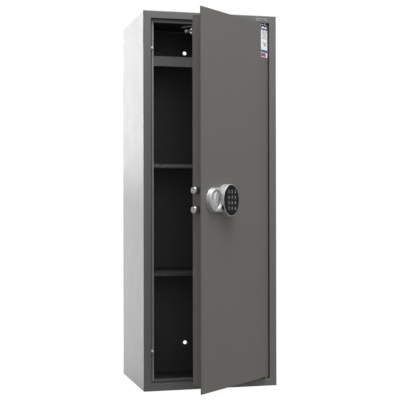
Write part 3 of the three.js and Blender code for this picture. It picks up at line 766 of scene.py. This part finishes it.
def hook():
    low, high = box_in(DOOR, "hook_knob")
    centre = Vector(((low.x + high.x) / 2, low.y, (low.z + high.z) / 2))
    length, radius = high.y - low.y, (high.z - low.z) / 2
    neck = 0.6 * radius
    profile = [(0, 0), (neck + 1 * MM, 0), (neck + 1 * MM, 1.4 * MM), (neck, 2.2 * MM)]
    profile += [(neck, length - 7.5 * MM), (radius - 1.6 * MM, length - 5.6 * MM)]
    profile += [(radius, length - 4.2 * MM), (radius, length - 1.6 * MM)]
    profile += [(radius - 0.5 * MM, length - 0.7 * MM), (radius - 1.4 * MM, length - 0.2 * MM)]
    profile += [(radius * 0.5, length), (0, length)]
    piece("hook_knob_turned", lathe(profile, 72), "door", ["dark"],
          DOOR @ Matrix.Translation(centre) @ INTO_DOOR, ["hook_knob"])
    plate_low = box_in(DOOR, "hook_bracket")[0]
    cover_rear = box_in(DOOR, "door_back_cover")[1].y
    nut_heights = (-7.5 * MM, 3.8 * MM)
    for index, dz in enumerate(nut_heights):
        at = Vector((plate_low.x + 2.6 * MM, cover_rear + 2.35 * MM, centre.z + dz))
        piece(f"hook_nut_{index + 1}", cap_nut(), "door", ["buffer"],
              DOOR @ Matrix.Translation(at) @ INTO_DOOR)


def cap_nut():
    """A small domed nut; its seat is at z = 0."""
    radius, skirt = 2.4 * MM, 4.2 * MM
    turns = [math.pi / 2 * i / 8 for i in range(9)]
    dome = [(radius * math.cos(a), skirt + radius * math.sin(a)) for a in turns]
    return lathe([(0, 0), (radius - 0.3 * MM, 0), (radius, 0.3 * MM), *dome[:-1], (0, skirt + radius)], 40)


def buffers():
    for name in ("door_bumper_upper", "door_bumper_lower"):
        low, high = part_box(name)
        radius, length = (high.z - low.z) / 2, high.y - low.y
        profile = [(0, 0), (radius, 0), (radius, 0.35 * length)]
        profile += [(radius * math.cos(a), 0.35 * length + 0.65 * length * math.sin(a)) for a in
                    (math.pi / 2 * i / 8 for i in range(1, 8))]
        profile.append((0, length))
        at = Vector(((low.x + high.x) / 2, high.y, (low.z + high.z) / 2))
        place = Matrix.Translation(at) @ Matrix.Rotation(math.radians(90), 4, "X")
        piece(name + "_dome", lathe(profile, 48), "cabinet", ["buffer"], place, [name])


def battery_lid():
    low, high = box_in(DOOR, "battery_lid")
    size = high - low
    middle = (low + high) / 2
    lid = soft_block(size, middle, 0.7 * MM, 4)
    grips = []
    for k in range(6):
        x = high.x - 8 * MM - k * 2.2 * MM
        grip = soft_block((0.9 * MM, 0.8 * MM, size.z * 0.55), (x, high.y, middle.z), 0.25 * MM, 2)
        grips.append((grip, 0))
    piece("battery_lid_moulded", joined((lid, 0), *grips), "battery_lid", ["black"], DOOR,
          ["battery_lid"])


# ---- Plain label and badge ------------------------------------------------------------------


def flat_plate(width, height, thickness, at, radius=1.0 * MM):
    plate = rings(rounded_box(width, height, radius), [(0, 0), *fillet(0, thickness, thickness * 0.45, 3)])
    bmesh.ops.translate(plate, vec=at, verts=plate.verts)
    return plate


def door_label():
    """A blank label with plain colour bands and ruled lines, near the top of the hinge side."""
    plate_high = box_in(LOCK, "door_plate")[1]
    width, height, film, ink = 41 * MM, 109 * MM, 0.12 * MM, 0.04 * MM
    dark, blue, red, grey = 1, 2, 3, 4
    x = plate_high.x - 6 * MM - width / 2
    top = plate_high.y - 2 * MM
    face = plate_high.z + 0.05 * MM
    parts = [(flat_plate(width, height, film, (x, top - height / 2, face), 1.2 * MM), 0)]

    def band(w, h, across, down, index, lift=0.0):
        """A block of one ink; across is from the label's middle and down from its top edge."""
        at = (x + across * MM, top - (down + h / 2) * MM, face + film + lift)
        parts.append((flat_plate(w * MM, h * MM, ink, at, 0.4 * MM), index))

    band(40, 17.5, 0, 0.5, dark)
    for across in (-9, 9):
        band(13, 6, across, 7, 0, ink)
    for row in range(7):
        band(34 - 3 * (row % 3), 1.9, 1.5 * (row % 2), 20.5 + 4.2 * row, grey)
    band(22, 3.2, 3, 60, grey)
    band(16, 6.5, 5, 65, grey)
    band(40, 9.5, 0, 84.5, blue)
    band(31, 11.5, -4.5, 95.5, red)
    piece("door_label", joined(*parts), "door",
          ["paper", "ink_dark", "ink_blue", "ink_red", "ink_grey"], LOCK)


def rail_badge():
    """A small blank badge on the frame above the door."""
    side_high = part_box("right_side_panel")[1]
    top_low, top_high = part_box("top_panel")
    face = top_low.y - 0.05 * MM
    from_side, from_top = 52 * MM, 14 * MM
    rim = rings(rounded_box(38 * MM, 7.5 * MM, 3.6 * MM), [
        (0, 0), *fillet(0, 0.9 * MM, 0.4 * MM, 4), (1.1 * MM, 0.9 * MM), (1.3 * MM, 0.5 * MM), (1.3 * MM, 0)],
        closed=True)
    field = flat_plate(35.4 * MM, 4.9 * MM, 0.5 * MM, (0, 0, 0), 2.3 * MM)
    centre = (side_high.x - from_side, face, top_high.z - from_top)
    place = Matrix.Translation(centre) @ Matrix.Rotation(math.radians(90), 4, "X")
    piece("rail_badge", joined((rim, 0), (field, 1)), "cabinet", ["cast", "door_paint"], place)


# ---- Studio and camera ----------------------------------------------------------------------


def studio_material(name, glow, paint=0.0):
    material = bpy.data.materials.new(name)
    material.use_nodes = True
    shader = material.node_tree.nodes["Principled BSDF"]
    shader.inputs["Base Color"].default_value = (paint, paint, paint, 1)
    shader.inputs["Roughness"].default_value = 1.0
    shader.inputs["Specular IOR Level"].default_value = 0.0
    shader.inputs["Emission Color"].default_value = (1, 1, 1, 1)
    shader.inputs["Emission Strength"].default_value = glow
    return material


def stage_object(name, bm, material):
    obj = as_object(name, bm)
    obj.data.materials.append(material)
    obj.visible_diffuse = False
    obj.visible_glossy = False
    obj.visible_transmission = False
    obj.visible_shadow = False


def studio():
    reach = 14.0
    floor = bmesh.new()
    just_under = Matrix.Translation((0, 0, -0.5 * MM))
    bmesh.ops.create_circle(floor, cap_ends=True, segments=96, radius=reach, matrix=just_under)
    stage_object("studio_floor", floor, studio_material("floor_white", 0.97, 0.10))
    dome = bmesh.new()
    bmesh.ops.create_uvsphere(dome, u_segments=64, v_segments=32, radius=reach)
    stage_object("studio_backdrop", dome, studio_material("backdrop_white", 1.05))


def area_light(name, at, target, size, watts):
    data = bpy.data.lights.new(name, "AREA")
    data.shape = "RECTANGLE"
    data.size, data.size_y = size
    data.energy = watts
    light = bpy.data.objects.new(name, data)
    light.location = at
    light.rotation_euler = (Vector(target) - Vector(at)).to_track_quat("-Z", "Y").to_euler()
    light.visible_camera = False
    bpy.context.scene.collection.objects.link(light)


def world_light(sky, ground):
    """An even white studio: one strength from above the horizon, a little less from below."""
    world = bpy.data.worlds.new("studio")
    bpy.context.scene.world = world
    world.use_nodes = True
    tree = world.node_tree
    place = tree.nodes.new("ShaderNodeTexCoord")
    split = tree.nodes.new("ShaderNodeSeparateXYZ")
    blend = tree.nodes.new("ShaderNodeMapRange")
    for socket, value in zip(("From Min", "From Max", "To Min", "To Max"), (-0.1, 0.1, ground, sky)):
        blend.inputs[socket].default_value = value
    tree.links.new(place.outputs["Generated"], split.inputs[0])
    tree.links.new(split.outputs["Z"], blend.inputs["Value"])
    background = tree.nodes["Background"]
    background.inputs["Color"].default_value = (1, 1, 1, 1)
    tree.links.new(blend.outputs[0], background.inputs["Strength"])


def lighting():
    world_light(0.413, 0.318)
    side, middle = (-0.23, 0.0, 0.8), (0.0, 0.0, 0.7)
    area_light("behind_left_high", (-1.6, 3.0, 2.6), (-0.23, 0.0, 0.9), (3.0, 1.2), 67)
    area_light("behind_left_middle", (-1.6, 3.0, 1.35), side, (3.0, 1.2), 48)
    area_light("behind_left_low", (-1.6, 3.0, 0.0), (-0.23, 0.0, 0.4), (3.0, 1.3), 27)
    area_light("left_card", (-3.2, 0.6, 1.7), side, (2.4, 2.4), 6)
    area_light("overhead", (0.2, -1.4, 4.0), middle, (2.0, 2.0), 155)
    area_light("front_right_high", (1.8, -3.0, 2.9), middle, (1.6, 1.6), 18)
    area_light("front_card", (-0.5, -4.3, 1.4), (0.0, 0.0, 0.9), (2.2, 1.8), 18)
    area_light("right_low", (2.2, -1.6, -0.1), (0.1, -0.2, 0.2), (1.6, 0.8), 7)


def camera():
    data = bpy.data.cameras.new("camera")
    data.sensor_width = 36.0
    data.lens = 86.80
    data.shift_x = 0.0355
    data.shift_y = 0.0050
    data.clip_end = 60.0
    obj = bpy.data.objects.new("camera", data)
    obj.location = (-0.8774, -3.2752, 0.6025)
    obj.rotation_euler = (math.radians(90.3413), math.radians(0.0955), math.radians(-14.3192))
    bpy.context.scene.collection.objects.link(obj)
    bpy.context.scene.camera = obj
    bpy.context.scene.view_settings.view_transform = "Standard"


# ---- Assembly -------------------------------------------------------------------------------

camera()
studio()
lighting()
refine_all()
frame_shell()
lock_housing()
port_cover()
keypad_face()
keys()
turn_knob()
bolts()
cover_screws()
hook()
buffers()
battery_lid()
door_label()
rail_badge()
